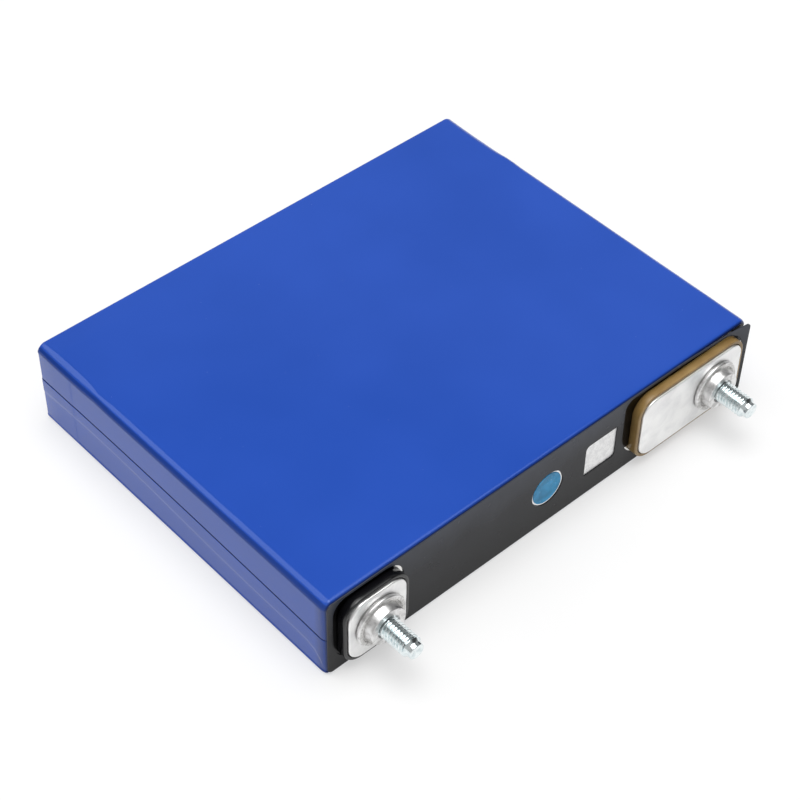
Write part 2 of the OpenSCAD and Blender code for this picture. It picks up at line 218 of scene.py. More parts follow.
class Paint:
    """A Principled material with patterns laid out in metres on the object's own coordinates."""

    def __init__(self, name, **sockets):
        self.material = bpy.data.materials.new(name)
        self.material.use_nodes = True
        self.tree = self.material.node_tree
        self.shader = self.tree.nodes["Principled BSDF"]
        self.place = self.add("ShaderNodeTexCoord").outputs["Object"]
        self.normal = None
        for socket, value in sockets.items():
            self.shader.inputs[socket.replace("_", " ")].default_value = value

    def add(self, kind, **inputs):
        node = self.tree.nodes.new(kind)
        for socket, value in inputs.items():
            self.plug(value, node.inputs[socket.replace("_", " ")])
        return node

    def plug(self, value, socket):
        if isinstance(value, bpy.types.NodeSocket):
            self.tree.links.new(value, socket)
        else:
            socket.default_value = value

    def noise(self, size, detail=3.0, stretch=(1, 1, 1), warp=0.0):
        """Noise with features of this size in millimetres, stretched along the axes."""
        scale = tuple(1 / s for s in stretch)
        place = self.add("ShaderNodeMapping", Vector=self.place, Scale=scale).outputs[0]
        pattern = self.add("ShaderNodeTexNoise", Vector=place, Scale=1 / (size * MM), Detail=detail,
                           Distortion=warp)
        return pattern.outputs["Fac"]

    def cells(self, size):
        """Distance from the middle of scattered cells of this size in millimetres."""
        pattern = self.add("ShaderNodeTexVoronoi", Vector=self.place, Scale=1 / (size * MM))
        return pattern.outputs["Distance"]

    def mark(self):
        """The number that the piece's points carry."""
        node = self.add("ShaderNodeAttribute")
        node.attribute_name = "mark"
        return node.outputs["Fac"]

    def span(self, value, low, high, start=0.3, end=0.7):
        """Value turned from start..end into low..high."""
        node = self.add("ShaderNodeMapRange", Value=value, From_Min=start, From_Max=end,
                        To_Min=low, To_Max=high)
        return node.outputs[0]

    def math(self, operation, first, second=0.0):
        node = self.tree.nodes.new("ShaderNodeMath")
        node.operation = operation
        self.plug(first, node.inputs[0])
        self.plug(second, node.inputs[1])
        return node.outputs[0]

    def ramp(self, value, *stops):
        """Colour that runs through stops of (place, colour)."""
        node = self.add("ShaderNodeValToRGB", Fac=value)
        line = node.color_ramp.elements
        while len(line) < len(stops):
            line.new(1.0)
        for mark, (place, colour) in zip(line, stops):
            mark.position = place
            mark.color = (*colour, 1)
        return node.outputs["Color"]

    def mix(self, share, first, second):
        """Colour that goes from the first to the second as share goes from 0 to 1."""
        node = self.tree.nodes.new("ShaderNodeMix")
        node.data_type = "RGBA"
        self.plug(share, node.inputs[0])
        self.plug(first, node.inputs[6])
        self.plug(second if isinstance(second, bpy.types.NodeSocket) else (*second, 1), node.inputs[7])
        return node.outputs[2]

    def edges(self, radius):
        """1 on sharp edges, within about this radius in millimetres, and 0 on flat stretches."""
        soft = self.tree.nodes.new("ShaderNodeBevel")
        soft.samples = BEVEL_SAMPLES
        soft.inputs["Radius"].default_value = radius * MM
        flat = self.add("ShaderNodeNewGeometry").outputs["Normal"]
        dot = self.tree.nodes.new("ShaderNodeVectorMath")
        dot.operation = "DOT_PRODUCT"
        self.plug(soft.outputs[0], dot.inputs[0])
        self.plug(flat, dot.inputs[1])
        return self.span(self.math("SUBTRACT", 1.0, dot.outputs["Value"]), 0.0, 1.0, *EDGE_TURN)

    def bump(self, height, depth, strength=1.0):
        """Relief of this depth in millimetres."""
        node = self.add("ShaderNodeBump", Height=height, Distance=depth * MM, Strength=strength)
        if self.normal:
            self.plug(self.normal, node.inputs["Normal"])
        self.normal = node.outputs[0]

    def done(self, colour=None, roughness=None):
        if colour:
            self.plug(colour, self.shader.inputs["Base Color"])
        if roughness:
            self.plug(roughness, self.shader.inputs["Roughness"])
        if self.normal:
            self.plug(self.normal, self.shader.inputs["Normal"])
        return self.material


def blue_film(slot):
    """Glossy wrapping film: faint waves, fine scuffs, dust, and painted shade where its points are marked."""
    paint = Paint(slot, IOR=1.40, Specular_Tint=(0.75, 0.9, 1.0, 1))
    clouds = paint.noise(38, detail=2)
    colour = paint.ramp(clouds, (0.3, (0.0168, 0.063, 0.350)), (0.7, (0.0205, 0.071, 0.386)))
    scuffs = paint.span(paint.noise(0.5, detail=2, stretch=(14, 1, 1)), 0.0, 1.0, 0.66, 0.74)
    cross_scuffs = paint.span(paint.noise(0.45, detail=2, stretch=(1, 18, 1)), 0.0, 1.0, 0.68, 0.76)
    worn = paint.math("MAXIMUM", scuffs, cross_scuffs)
    rough = paint.span(paint.noise(6), 0.05, 0.10)
    rough = paint.math("ADD", rough, paint.math("MULTIPLY", worn, 0.12))
    dust = paint.span(paint.cells(5.5), 1.0, 0.0, 0.010, 0.022)
    colour = paint.mix(paint.math("MULTIPLY", dust, 0.35), colour, (0.35, 0.42, 0.62))
    # Painted shade: the marks darken the film in the seam's crevice, where it rolls over the rim, and along
    # the sides of its upper long edges.
    dark = paint.mark()
    colour = paint.mix(dark, colour, (0.002, 0.006, 0.045))
    # The power keeps the half-dark stretches glossy: only the seam goes matt.
    matt = paint.math("MULTIPLY", paint.math("POWER", dark, 4.0), 0.5)
    rough = paint.math("ADD", rough, matt)
    paint.bump(paint.noise(22, detail=1), 0.05, 0.5)
    paint.bump(paint.noise(0.35, detail=2), 0.0012, 0.5)
    return paint.done(colour, rough)


def black_sheet(slot):
    """Semi-gloss black sheet with a fine leathery skin, and a painted reflection that makes it paler towards
    its upper edge.
    """
    paint = Paint(slot, IOR=1.25)
    height = paint.add("ShaderNodeSeparateXYZ", Vector=paint.place).outputs[2]
    # Painted reflection: darker low down and paler towards the upper edge, with a little random tone.
    painted_reflection = paint.span(height, 0.0, 1.0, 0.0, THICKNESS * MM)
    painted_reflection = paint.math("ADD", painted_reflection, paint.span(paint.noise(9, detail=5), -0.06, 0.06))
    colour = paint.ramp(painted_reflection, (0.1, (0.003, 0.003, 0.004)), (0.6, (0.012, 0.013, 0.017)),
                        (1.0, (0.042, 0.047, 0.063)))
    rough = paint.span(paint.noise(3.2, detail=4), 0.20, 0.28)
    paint.bump(paint.noise(14, detail=1), 0.02, 0.5)
    paint.bump(paint.noise(0.22, detail=2), 0.0012, 0.6)
    return paint.done(colour, rough)


def metal(slot, dark, light, size, rough, grain=(1, 1, 1), wear=0.0):
    """Bare metal: cloudy tone, grain of this size that varies the roughness, and brighter edges."""
    paint = Paint(slot, Metallic=1.0)
    clouds = paint.noise(size * 12, detail=4)
    colour = paint.ramp(clouds, (0.35, dark), (0.68, light))
    fine = paint.noise(size, detail=4, stretch=grain)
    roughness = paint.span(fine, rough[0], rough[1])
    if wear:
        edge = paint.math("MULTIPLY", paint.edges(wear), paint.span(paint.noise(size * 4), 0.2, 1.0))
        colour = paint.mix(edge, colour, tuple(min(1.0, c * 1.12) for c in light))
        roughness = paint.math("SUBTRACT", roughness, paint.math("MULTIPLY", edge, rough[0] * 0.5))
    paint.bump(fine, METAL_GRAIN_DEPTH)
    return paint.done(colour, roughness)


def can_aluminium(slot):
    """Deep-drawn can: lines along its height."""
    return metal(slot, (0.70, 0.71, 0.72), (0.82, 0.83, 0.84), 0.5, (0.28, 0.42), grain=(1, 40, 1))


def lid_aluminium(slot):
    """Bright lid: matt and mottled under the code window, and painted black for shade in the gaps round the
    trays.
    """
    paint = Paint(slot, Metallic=1.0)
    x, _, z = paint.add("ShaderNodeSeparateXYZ", Vector=paint.place).outputs
    patch = paint.math("MULTIPLY", paint.math("GREATER_THAN", x, CODE_PATCH[0] * MM),
                       paint.math("LESS_THAN", x, CODE_PATCH[1] * MM))
    broad = paint.span(paint.noise(1.6, detail=1), -0.12, 0.12)
    mottle = paint.math("ADD", paint.noise(0.55, detail=3), broad)
    plain = paint.ramp(paint.noise(7, detail=3), (0.35, (0.72, 0.71, 0.69)), (0.7, (0.84, 0.84, 0.83)))
    mottled = paint.ramp(mottle, (0.38, (0.76, 0.76, 0.765)), (0.5, (0.82, 0.82, 0.82)),
                         (0.62, (0.88, 0.88, 0.88)))
    colour = paint.mix(patch, plain, mottled)
    fine = paint.noise(0.3, detail=3, stretch=(30, 1, 1))
    rough = paint.math("ADD", paint.span(fine, 0.13, 0.24), paint.math("MULTIPLY", patch, 0.33))
    paint.bump(fine, 0.0015)
    paint.bump(mottle, 0.002)
    # Painted shade: the lid is black in the gaps round the trays, except in the positive window's low left
    # corner.
    left = paint.math("LESS_THAN", x, SHADE_UP_TO * MM)
    right = paint.math("GREATER_THAN", x, SHADE_FROM * MM)
    bare = paint.math("MULTIPLY", paint.math("LESS_THAN", x, UNSHADED_CORNER[0] * MM),
                      paint.math("LESS_THAN", z, UNSHADED_CORNER[1] * MM))
    black = paint.math("MAXIMUM", left, paint.math("SUBTRACT", right, paint.math("MULTIPLY", right, bare)))
    return paint.done(paint.mix(black, colour, (0.004, 0.004, 0.005)), rough)


def vent_aluminium(slot):
    return metal(slot, (0.76, 0.77, 0.78), (0.90, 0.90, 0.91), 0.25, (0.12, 0.26), wear=0.2)


def teal_film(slot):
    """Thin clear teal film over the vent, with soft ripples and painted glints."""
    paint = Paint(slot, IOR=1.28)
    tone = paint.noise(3.2, detail=2, warp=0.6)
    colour = paint.ramp(tone, (0.32, (0.008, 0.175, 0.35)), (0.55, (0.015, 0.245, 0.48)),
                        (0.75, (0.04, 0.32, 0.60)))
    # Painted highlight: small pale glints scattered over the film.
    painted_glint = paint.span(paint.cells(2.6), 1.0, 0.0, 0.03, 0.07)
    colour = paint.mix(paint.math("MULTIPLY", painted_glint, 0.7), colour, (0.6, 0.72, 0.78))
    paint.bump(tone, 0.05)
    return paint.done(colour, paint.span(paint.noise(0.8), 0.12, 0.3))


def plastic(slot, dark, light, rough, size=0.35, depth=0.006, wear=None):
    """Moulded plastic with a fine texture and paler rubbed edges."""
    paint = Paint(slot, IOR=1.5)
    clouds = paint.noise(size * 14, detail=3)
    colour = paint.ramp(clouds, (0.3, dark), (0.7, light))
    if wear:
        edge = paint.math("MULTIPLY", paint.edges(0.18), paint.span(paint.noise(1.5), 0.3, 1.0))
        colour = paint.mix(edge, colour, wear)
    fine = paint.noise(size, detail=3)
    paint.bump(fine, depth, 0.6)
    return paint.done(colour, paint.span(fine, *rough))


def black_plastic(slot):
    return plastic(slot, (0.003, 0.003, 0.004), (0.005, 0.005, 0.006), (0.15, 0.22), depth=0.002,
                   wear=(0.022, 0.022, 0.025))


def brown_plastic(slot):
    return plastic(slot, (0.200, 0.120, 0.038), (0.275, 0.178, 0.065), (0.30, 0.42), size=0.3,
                   wear=(0.62, 0.47, 0.26))


def plate_aluminium(slot):
    """Blasted terminal plates: pale, with faint stains and brighter, smoother edges."""
    paint = Paint(slot, Metallic=1.0)
    stains = paint.noise(5.5, detail=5, warp=0.4)
    colour = paint.ramp(stains, (0.30, (0.76, 0.76, 0.765)), (0.55, (0.87, 0.87, 0.865)),
                        (0.8, (0.93, 0.93, 0.925)))
    edge = paint.edges(0.25)
    colour = paint.mix(edge, colour, (0.95, 0.95, 0.95))
    fine = paint.noise(0.16, detail=2)
    rough = paint.math("SUBTRACT", paint.span(fine, 0.36, 0.52), paint.math("MULTIPLY", edge, 0.14))
    paint.bump(fine, 0.006, 0.7)
    paint.bump(paint.noise(2.5, detail=2), 0.02, 0.5)
    return paint.done(colour, rough)


def boss_aluminium(slot):
    """Machined boss: stained metal, darker and rougher in patches where its points are marked: burnt weld in
    its groove, and painted shade at its foot.
    """
    paint = Paint(slot, Metallic=1.0)
    stains = paint.noise(1.8, detail=5, warp=0.5)
    clean = paint.ramp(stains, (0.34, (0.50, 0.495, 0.49)), (0.5, (0.74, 0.735, 0.73)),
                       (0.7, (0.86, 0.86, 0.86)))
    burnt = paint.ramp(paint.noise(0.7, detail=4), (0.35, (0.26, 0.255, 0.245)), (0.6, (0.64, 0.63, 0.61)))
    # Weld burn in the groove, and painted shade in the undercut at the foot, where the points are marked.
    weld = paint.math("MULTIPLY", paint.mark(), paint.span(paint.noise(0.9, detail=3), 0.1, 0.9))
    rough = paint.span(paint.noise(0.25, detail=3), 0.30, 0.42)
    rough = paint.math("ADD", rough, paint.math("MULTIPLY", weld, 0.12))
    paint.bump(paint.noise(0.30, detail=3), 0.006, 0.5)
    return paint.done(paint.mix(weld, clean, burnt), rough)


def zinc_steel(slot):
    """Blue-passivated zinc on steel."""
    paint = Paint(slot, Metallic=1.0)
    clouds = paint.noise(1.4, detail=4)
    colour = paint.ramp(clouds, (0.30, (0.62, 0.70, 0.72)), (0.55, (0.80, 0.86, 0.87)),
                        (0.75, (0.90, 0.93, 0.93)))
    fine = paint.noise(0.14, detail=3)
    paint.bump(fine, 0.003, 0.6)
    return paint.done(colour, paint.span(fine, 0.10, 0.22))


def copper(slot):
    return metal(slot, (0.72, 0.33, 0.18), (0.86, 0.48, 0.31), 0.3, (0.22, 0.38), grain=(8, 1, 1))


def foil_aluminium(slot):
    return metal(slot, (0.78, 0.79, 0.80), (0.90, 0.90, 0.91), 0.3, (0.18, 0.34), grain=(8, 1, 1))


def seal_rubber(slot):
    return plastic(slot, (0.018, 0.018, 0.018), (0.035, 0.035, 0.034), (0.55, 0.72), size=0.25, depth=0.01)


def pale_plastic(slot):
    return plastic(slot, (0.72, 0.71, 0.65), (0.82, 0.81, 0.77), (0.42, 0.58), size=0.4)


def bag_film(slot):
    """Milky film of the inner bag, with soft creases."""
    paint = Paint(slot, IOR=1.45)
    crease = paint.noise(9, detail=2, stretch=(1, 3, 1), warp=0.8)
    paint.bump(crease, 0.12, 0.6)
    colour = paint.ramp(crease, (0.3, (0.62, 0.74, 0.75)), (0.7, (0.78, 0.87, 0.88)))
    return paint.done(colour, paint.span(paint.noise(2), 0.2, 0.34))


def coated_foil(slot, dark, light):
    """Electrode coating: matt, with fine grain and faint rolling lines round the winding."""
    paint = Paint(slot)
    colour = paint.ramp(paint.noise(0.5, detail=4), (0.3, dark), (0.7, light))
    lines = paint.noise(0.4, detail=2, stretch=(60, 1, 1))
    paint.bump(lines, 0.004)
    return paint.done(colour, paint.span(lines, 0.55, 0.75))


def anode(slot):
    return coated_foil(slot, (0.045, 0.045, 0.05), (0.09, 0.09, 0.095))


def cathode(slot):
    return coated_foil(slot, (0.012, 0.012, 0.014), (0.03, 0.03, 0.033))


def separator(slot):
    return plastic(slot, (0.78, 0.79, 0.79), (0.88, 0.88, 0.87), (0.45, 0.6), size=0.15, depth=0.002)


def green_tape(slot):
    return plastic(slot, (0.02, 0.20, 0.07), (0.035, 0.28, 0.10), (0.22, 0.36), size=0.3, depth=0.004)


# ---------- can and film ----------

FILM = corners("case_can")[0].x - FILM_LOW.x
CAN_WALL = 0.8
CAN_FLOOR = 1.2
# A long edge's section, from the side to the large face: arcs of (end angle in degrees, radius).
UPPER_EDGE = [(3, 4.0), (26, 1.05), (52, 3.2), (72, 3.3), (90, 1.2)]
LOWER_EDGE = [(45, 1.05), (90, 1.05)]
EDGE_STEPS = 5
# The fold near the bottom end makes the arc that ends here fuller or tighter.
FOLDED_ARC = 72
# The film rolls over the can's rim: how far in it ends, and how far along the rounding reaches.
RIM_DEPTH = 0.95
SIDE_RIM_REACH = 2.0
FACE_RIM_REACH = 0.9
END_RADIUS = 1.05
# The flap that is folded up first from the bottom end shows through up to here.
END_FLAP = LENGTH - 14.7
END_FLAP_STEP = 0.04
FLAP_STEP = 0.11
SEAM_DEPTH = 0.03
# Along the outer flap's edge: (z from the edge, inwards, mark); the mark is painted shade in the crevice
# under the edge.
SEAM_PROFILE = [(-0.5, 0, 0), (-0.16, 0, 0), (-0.05, 0.02, 0.5), (0.03, FLAP_STEP + SEAM_DEPTH, 1),
                (0.17, FLAP_STEP + SEAM_DEPTH, 1), (0.28, FLAP_STEP + 0.01, 0.15), (0.5, FLAP_STEP, 0),
                (1.4, FLAP_STEP, 0)]
# Across the climb over the hidden flap's edge: (z from the edge, share of the step).
RIDGE_PROFILE = [(-0.9, 1), (-0.5, 0.95), (-0.15, 0.55), (0.2, 0.12), (0.6, 0)]
# The right side's details are the left one's from this much further along.
SIDE_SHIFT = 4.0
# The can's outside lies this much under the film.
CAN_CLEARANCE = 0.02
# Rings along the can, and those at the folded flap's end
BODY_RINGS = [4.0 + 3.0 * k for k in range(36)]
FLAP_END_RINGS = (-0.25, -0.08, 0.08, 0.25)
# Two rings inside the bottom end's rim keep the rounding's normals off the flat.
FLAT_END_SHARES = (0.94, 0.98)


def seam_height(along):
    """Upper edge of the outer flap on a narrow side."""
    return 13.0 + 1.8 * math.sin(math.pi / 2 * along / 85)


def ridge_height(along):
    """Where the outer flap climbs over the hidden edge of the inner one."""
    wave = 9.5 + 1.5 * math.cos(2 * math.pi * (along - 90) / 140)
    return wave - 9.0 * math.exp(-along / 2.2)


def fold_bulge(along):
    """The edge is fuller over the folded corner near the bottom end, and pinched just before it."""
    full = 0.45 * smooth(along, 91, 96) * (1 - 0.8 * smooth(along, 110, 114))
    pinch = 0.35 * math.exp(-((along - 89.5) / 2.5) ** 2)
    return 1 + full - pinch + 0.10 * ripple(along / 9)


def edge_curve(arcs, bulge, inset_x, inset_z):
    """Points (in from the side, in from the face, degrees turned) of a long edge's section, moved inwards."""
    run, rise, start = 0.0, 0.0, 0.0
    curve = [(0.0, 0.0, 0.0)]
    for end, radius in arcs:
        if end == FOLDED_ARC:
            radius *= bulge
        for k in range(EDGE_STEPS):
            a = math.radians(start + (end - start) * k / EDGE_STEPS)
            b = math.radians(start + (end - start) * (k + 1) / EDGE_STEPS)
            run += radius * (math.cos(a) - math.cos(b))
            rise += radius * (math.sin(b) - math.sin(a))
            curve.append((run, rise, b))
        start = end
    return [(u + inset_x * math.cos(a), rise - v + inset_z * math.sin(a), math.degrees(a))
            for u, v, a in curve]


def rim_mark(along, angle=0.0):
    """Painted shade where the film rolls over the can's rim: further along the sides than along the faces."""
    rolled = 0.85 * (1 - smooth(along, 0.1, 1.0 - 0.5 * angle / 90))
    side_shade = 0.4 * (1 - smooth(along, 1.8, 4.0)) * (1 - smooth(angle, 20, 50))
    return max(rolled, side_shade)


def stretch_mark(along, angle):
    """Painted shade over the side of an upper long edge, joined to the rim's painted shade."""
    return max(0.5 * smooth(angle, 4, 12) * (1 - smooth(angle, 46, 54)), rim_mark(along, angle))


def side_details(along, detail, low, high):
    """Points (inwards, z, mark) up a narrow side, between its edges, with the two flaps' steps."""
    seam, ridge = seam_height(along), ridge_height(along)
    ridge = max(ridge, low + 1.5)
    base = END_FLAP_STEP * (1 - smooth(along, END_FLAP - 0.2, END_FLAP + 0.2))
    below, above = ridge + RIDGE_PROFILE[0][0], seam + SEAM_PROFILE[-1][0]
    points = [(FLAP_STEP, low + (below - low) * share, 0) for share in (0.0, 0.33, 0.66)]
    points += [(FLAP_STEP * level, ridge + z, 0) for z, level in RIDGE_PROFILE]
    points.append((0, (ridge + seam) / 2, 0))
    points += [(inwards, seam + z, mark) for z, inwards, mark in SEAM_PROFILE]
    points += [(FLAP_STEP, above + (high - above) * share, 0) for share in (0.3, 0.65, 1.0)]
    return [(detail * (u + base), z, detail * mark) for u, z, mark in points]


def film_section(along, inset_x=0.0, inset_z=0.0, detail=1.0):
    """Closed section of the wrapped can at this distance from the lid plane, and its marks of painted shade.
    """
    upper = edge_curve(UPPER_EDGE, fold_bulge(along), inset_x, inset_z)
    lower = edge_curve(LOWER_EDGE, 1.0, inset_x, inset_z)
    low, high = lower[0][1], THICKNESS - upper[0][1]
    sides = []
    for shift in (0.0, SIDE_SHIFT):
        bottom = [(u, v, detail * rim_mark(along, angle)) for u, v, angle in reversed(lower)]
        middle = [(u + inset_x, z, max(mark, detail * rim_mark(along)))
                  for u, z, mark in side_details(along + shift, detail, low, high)]
        top = [(u, THICKNESS - v, detail * stretch_mark(along, angle)) for u, v, angle in upper]
        sides.append(bottom + middle + top)
    left = [(-HALF_WIDTH + u, -along, z, mark) for u, z, mark in sides[0]]
    right = [(HALF_WIDTH - u, -along, z, mark) for u, z, mark in reversed(sides[1])]
    ring = left + right
    return [point[:3] for point in ring], [point[3] for point in ring]


def rounding(distance, reach, depth):
    """Inset of an elliptic rounding at this distance from its end."""
    t = 1 - min(1.0, max(0.0, distance / reach))
    return depth * (1 - math.sqrt(max(0.0, 1 - t * t)))


def shell_rings(skin, detail=1.0):
    """Rings of the can's outside, moved in by skin, from the bottom end to the lid, with their marks."""
    rounded = [math.radians(a) for a in (0, 15, 30, 45, 60, 75, 90)]
    lid_end = [skin + (SIDE_RIM_REACH - skin) * (1 - math.cos(a)) for a in rounded]
    far_end = [LENGTH - skin - (END_RADIUS - skin) * (1 - math.cos(a)) for a in rounded]
    body = BODY_RINGS + [END_FLAP + offset for offset in FLAP_END_RINGS]
    rings, marks = [], []
    for along in sorted(set(lid_end + far_end + body), reverse=True):
        near_lid = along - skin
        near_end = LENGTH - skin - along
        end_inset = rounding(near_end, END_RADIUS - skin, END_RADIUS - skin)
        inset_x = skin + end_inset + rounding(near_lid, SIDE_RIM_REACH - skin, RIM_DEPTH - skin)
        inset_z = skin + end_inset + rounding(near_lid, FACE_RIM_REACH - skin, RIM_DEPTH - skin)
        ring, mark = film_section(along, inset_x, inset_z, detail)
        rings.append(ring)
        marks += mark
    return rings, marks


def shrunk(ring, share):
    """A ring drawn in towards the middle of the cell."""
    return [(x * share, h, MID + (z - MID) * share) for x, h, z in ring]


def wrap_film():
    outer, marks = shell_rings(0.0)
    inner, inner_marks = shell_rings(FILM, detail=0.0)
    flat_end = [shrunk(outer[0], share) for share in FLAT_END_SHARES]
    skin = loft(flat_end + outer + inner[::-1], first_cap=True, last_cap=True)
    unmarked = [0] * (len(flat_end) * len(outer[0]))
    marks = unmarked + marks + [0] * len(inner_marks)
    return new_piece("film_wrap", skin, ["wrap_film"], sharp=50, marks=marks)


def case_can():
    outer, _ = shell_rings(FILM + CAN_CLEARANCE, detail=0.0)
    wall = FILM + CAN_WALL
    places = (0.0, 2.0, LENGTH / 2, LENGTH - FILM - CAN_FLOOR)
    inner = [film_section(along, wall, wall, 0.0)[0] for along in places]
    return new_piece("can_shell", loft(outer + inner, first_cap=True, last_cap=True), ["case_can"])


# ---------- lid ----------

SHEET_LEFT = -73.3
SHEET_RIGHT = 73.8
SHEET_LOW = 0.5
SHEET_HIGH = 26.0
SHEET_RADIUS = 1.5
SHEET_THICKNESS = heights("lid_sheet")[1]
WINDOW_LOW = 1.6
WINDOW_HIGH = 25.4
# Sides of the terminals' windows, and their corner radii from the low right corner on, anticlockwise.
NEG_WINDOW = ((-71.6, -49.2), (7.5, 6.0, 4.5, 9.0))
POS_WINDOW = ((27.4, 71.9), (7.5, 7.5, 3.0, 12.0))
# Painted shade: the lid is painted black up to one x and from another on, for the shade in the gaps round the
# trays, but left bare in the positive window's low left corner.
SHADE_UP_TO = NEG_WINDOW[0][1] - 3.1
SHADE_FROM = POS_WINDOW[0][0] - 0.5
UNSHADED_CORNER = (POS_WINDOW[0][0] + 4.6, WINDOW_LOW + 5.9)
VENT_WINDOW_RADIUS = 5.5
CODE_CENTRE = 19.3
CODE_SIZE = (11.4, 10.7)
CODE_RADIUS = 1.4
# The lid is mottled between these x, a little wider than the code window.
CODE_PATCH = (CODE_CENTRE - CODE_SIZE[0] / 2 - 1, CODE_CENTRE + CODE_SIZE[0] / 2 + 1)
# The sheet's loose end: (lift, x where it begins, x where it is whole).
SHEET_LIFTS = [(0.55, 46, 68), (1.0, 64, 76)]
SHEET_RIPPLE = 0.02
# Points inside the sheet, so that it can curl: step, inset of the first, number
GRID_STEP, GRID_INSET, GRID_COUNT = 2.5, (2, 0.9), (58, 10)


def sheet_lift(x, z):
    """The sheet's end by the positive terminal has come unstuck and curls outwards."""
    lift = sum(rise * smooth(x, start, end) for rise, start, end in SHEET_LIFTS)
    return lift * (0.8 + 0.2 * z / THICKNESS) + SHEET_RIPPLE * ripple(x / 12, z / 12)


def code_outline():
    """Window with two round and two sharp corners."""
    points = rounded_rect((CODE_CENTRE, MID), CODE_SIZE, CODE_RADIUS, cuts=(4, 4))
    w, h = CODE_SIZE[0] / 2, CODE_SIZE[1] / 2
    kept = []
    for x, z in points:
        dx, dz = x - CODE_CENTRE, z - MID
        corner = abs(dx) > w - CODE_RADIUS and abs(dz) > h - CODE_RADIUS
        if corner and dx * dz > 0:
            sharp = (CODE_CENTRE + math.copysign(w, dx), MID + math.copysign(h, dz))
            if sharp not in kept:
                kept.append(sharp)
        else:
            kept.append((x, z))
    return kept


def terminal_window(window):
    span, radii = window
    size = (span[1] - span[0], WINDOW_HIGH - WINDOW_LOW)
    centre = ((span[0] + span[1]) / 2, (WINDOW_LOW + WINDOW_HIGH) / 2)
    return rounded_rect(centre, size, radii, cuts=(int(size[0] / 3), 6), steps=12)


def inside(outline, x, z):
    """Whether a point lies inside a closed outline."""
    hit = False
    for (x1, z1), (x2, z2) in zip(outline, outline[1:] + outline[:1]):
        if (z1 > z) != (z2 > z) and x < x1 + (z - z1) * (x2 - x1) / (z2 - z1):
            hit = not hit
    return hit


def sheet_skin():
    """The sheet with its windows: a flat net of triangles, lifted, thickened and closed at its edges."""
    size = (SHEET_RIGHT - SHEET_LEFT, SHEET_HIGH - SHEET_LOW)
    centre = ((SHEET_LEFT + SHEET_RIGHT) / 2, (SHEET_LOW + SHEET_HIGH) / 2)
    border = rounded_rect(centre, size, SHEET_RADIUS, cuts=(60, 12))
    windows = [circle((0, MID), VENT_WINDOW_RADIUS, 72), code_outline(),
               terminal_window(NEG_WINDOW), terminal_window(POS_WINDOW)]
    flat, edges = [], []
    for outline in [border] + windows:
        start = len(flat)
        flat += outline
        edges += [(start + k, start + (k + 1) % len(outline)) for k in range(len(outline))]
    grid = [(SHEET_LEFT + GRID_INSET[0] + GRID_STEP * i, SHEET_LOW + GRID_INSET[1] + GRID_STEP * j)
            for i in range(GRID_COUNT[0]) for j in range(GRID_COUNT[1])]
    flat += [(x, z) for x, z in grid if inside(border, x, z) and not any(inside(w, x, z) for w in windows)]
    places, _, triangles = delaunay_2d_cdt([Vector(p) for p in flat], edges, [], 1, 1e-5)[:3]
    kept = []
    for trio in triangles:
        x, z = (sum(places[i][axis] for i in trio) / 3 for axis in (0, 1))
        if not any(inside(w, x, z) for w in windows):
            kept.append(tuple(trio))
    count = len(places)
    base = [sheet_lift(x, z) for x, z in places]
    points = [(x, b + SHEET_THICKNESS, z) for (x, z), b in zip(places, base)]
    points += [(x, b, z) for (x, z), b in zip(places, base)]
    faces = kept + [tuple(count + i for i in reversed(t)) for t in kept]
    uses = {}
    for a, b, c in kept:
        for edge in ((a, b), (b, c), (c, a)):
            uses.setdefault(frozenset(edge), []).append(edge)
    faces += [(e[0][1], e[0][0], count + e[0][0], count + e[0][1]) for e in uses.values() if len(e) == 1]
    return points, faces


def lid_sheet():
    return new_piece("lid_cover_sheet", sheet_skin(), ["lid_sheet"], sharp=40)


VENT_RIM_ROUND = 0.15
VENT_RIDGE_RADIUS = 5.2
VENT_INNER_RADIUS = 4.2
MEMBRANE_THICKNESS = 0.25
SCORE_RADIUS = 3.0
SCORE_HALF_WIDTH = 0.15
SCORE_DEPTH = 0.1


def vent_disc():
    """Pressed vent cup: raised bright rim round a thin membrane with a score line."""
    low, high = heights("vent_disc")
    rim, inner = corners("vent_disc")[1].x, VENT_INNER_RADIUS
    floor = low + MEMBRANE_THICKNESS
    profile = [(0, low), (rim, low)]
    profile += arc((rim - VENT_RIM_ROUND, high - VENT_RIM_ROUND), VENT_RIM_ROUND, 0, 90)
    profile += arc((VENT_RIDGE_RADIUS, high - 0.02), 0.12, 60, 120)
    profile += [(inner + 0.3, high - 0.02), (inner, high - 0.2), (inner - 0.3, floor),
                (SCORE_RADIUS + SCORE_HALF_WIDTH, floor), (SCORE_RADIUS, floor - SCORE_DEPTH),
                (SCORE_RADIUS - SCORE_HALF_WIDTH, floor), (0, floor)]
    return new_piece("vent_cup", turned(profile, (0, MID)), ["vent_disc"])


DISH_DEPTH = 0.10
DISH_WAVES = 0.03
DISH_RINGS = 12
DISH_BEVEL = 0.04


def vent_film():
    """Teal film stuck over the vent, slightly dished, with soft ripples."""
    low, high = heights("vent_film")
    radius = corners("vent_film")[1].x
    profile = [(0, low), (radius, low), (radius, high - DISH_BEVEL), (radius - DISH_BEVEL, high)]
    profile += [(radius * (1 - k / DISH_RINGS), high) for k in range(1, DISH_RINGS)]
    profile += [(0, high - DISH_DEPTH)]

    def dish(turn, r, h):
        if h < high - NEARLY:
            return r, h
        depth = DISH_DEPTH * (1 - (r / radius) ** 2)
        waves = DISH_WAVES * (r / radius) * ripple(math.cos(turn) * 1.6, math.sin(turn) * 1.6, r / 3)
        return r, h - depth + waves * (1 - (r / radius) ** 4)

    return new_piece("vent_cover_film", turned(profile, (0, MID), shift=dish), ["vent_film"])


# ---------- terminals ----------

